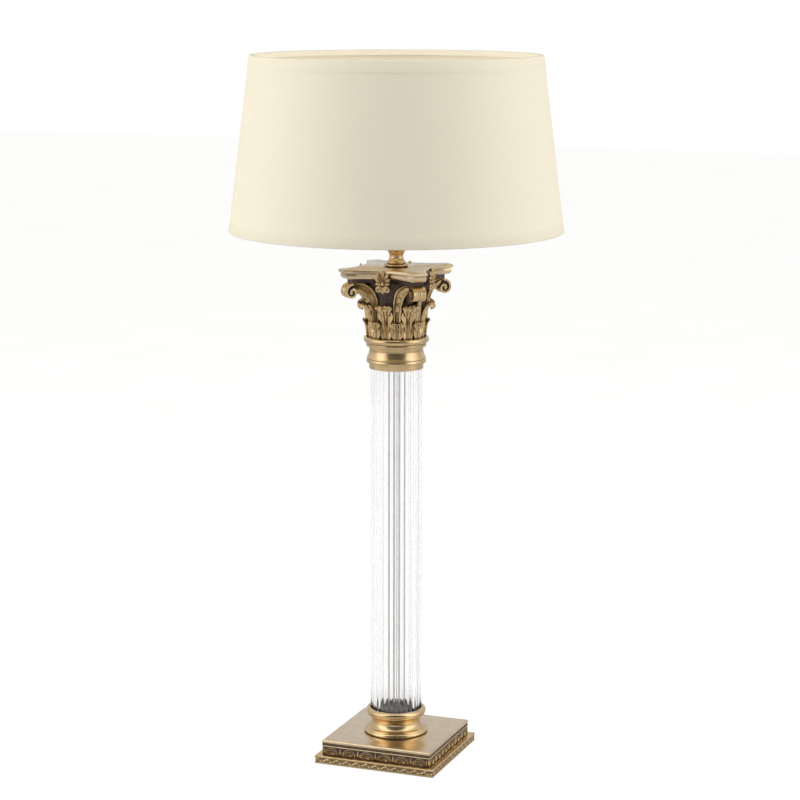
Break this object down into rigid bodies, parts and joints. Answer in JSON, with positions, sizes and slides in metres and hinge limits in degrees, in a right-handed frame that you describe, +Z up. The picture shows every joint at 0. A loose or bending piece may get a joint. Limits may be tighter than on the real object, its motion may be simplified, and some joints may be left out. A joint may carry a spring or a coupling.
{
  "type": "table lamp",
  "caption": "Table lamp with a square moulded plinth, a fluted glass column, a leaved capital with corner scrolls and a tapered fabric shade.",
  "frame": {"origin": "middle of the underside of the felt, on the lamp's axis", "axes": "+Z up along the column, +X and +Y square to the plinth's sides; the cord inlet is on the +Y side"},
  "size_m": [0.3799, 0.38, 0.8148],
  "materials": {
    "antique_brass": "antiqued, polished on the high spots",
    "dark_patina": "dark patina",
    "clear_glass": "clear, polished, fluted",
    "silvered_tube": "satin",
    "zinc_steel": "zinc plated",
    "felt": "felt",
    "cover_paint": "satin black",
    "ballast_iron": "raw",
    "bushing_plastic": "moulded",
    "gasket_rubber": "moulded",
    "holder_brass": "polished",
    "holder_plastic": "moulded",
    "bar_plastic": "glossy",
    "contact_brass": "bright",
    "shade_fabric": "laminated fabric",
    "hem_tape": "folded fabric tape",
    "white_wire": "powder coated",
    "opal_glass": "opal",
    "bulb_aluminium": "rolled",
    "bulb_insulator": "vitreous black"
  },
  "bodies": {
    "lamp": {"abacus": "antique_brass", "abacus_bed": "dark_patina", "astragal_ring": "antique_brass", "ballast_plate": "ballast_iron", "base_ring": "antique_brass", "base_step": "antique_brass", "bottom_cover": "cover_paint", "capital_bell": "dark_patina", "centre_contact": "contact_brass", "centre_tube": "silvered_tube", "contact_insert": "holder_plastic", "cord_bushing": "bushing_plastic", "cover_screws": "zinc_steel", "felt_pad": "felt", "fleuron_front": "antique_brass", "fleuron_left": "antique_brass", "fleuron_rear": "antique_brass", "fleuron_right": "antique_brass", "glass_column": "clear_glass", "holder_cup": "holder_brass", "holder_nut": "zinc_steel", "holder_skirt": "holder_plastic", "lower_collar": "dark_patina", "lower_gasket": "gasket_rubber", "lower_leaf_tier": "antique_brass", "neck_cup": "antique_brass", "neck_stem": "antique_brass", "plinth_cap": "antique_brass", "plinth_frieze": "antique_brass", "rod_nut": "zinc_steel", "rod_washer": "zinc_steel", "screw_shell": "contact_brass", "switch_block": "holder_plastic", "tie_rod": "zinc_steel", "upper_collar": "dark_patina", "upper_gasket": "gasket_rubber", "upper_leaf_tier": "antique_brass", "volute_front_left": "antique_brass", "volute_front_right": "antique_brass", "volute_rear_left": "antique_brass", "volute_rear_right": "antique_brass"},
    "shade": {"shade_shell": "shade_fabric", "bottom_hem": "hem_tape", "top_hem": "hem_tape", "bottom_wire": "white_wire", "top_wire": "white_wire", "shade_spider": "white_wire"},
    "shade_ring": {"shade_ring": "holder_plastic"},
    "bulb": {"bulb_contact": "bulb_aluminium", "bulb_insulator": "bulb_insulator", "bulb_cap": "bulb_aluminium", "bulb_glass": "opal_glass"},
    "switch_bar": {"switch_bar": "bar_plastic"}
  },
  "joints": [
    {"name": "shade_swivel", "type": "hinge", "parent": "lamp", "child": "shade", "pos_m": [0, 0, 0.6282], "axis": [0, 0, 1], "continuous": true},
    {"name": "shade_ring_turn", "type": "hinge", "parent": "lamp", "child": "shade_ring", "pos_m": [0, 0, 0.6328], "axis": [0, 0, 1], "range_deg": [0, 1080]},
    {"name": "bulb_turn", "type": "hinge", "parent": "lamp", "child": "bulb", "pos_m": [0, 0, 0.6446], "axis": [0, 0, 1], "range_deg": [0, 1800]},
    {"name": "switch_push", "type": "slide", "parent": "lamp", "child": "switch_bar", "axis": [1, 0, 0], "range_m": [0, 0.004]}
  ]
}
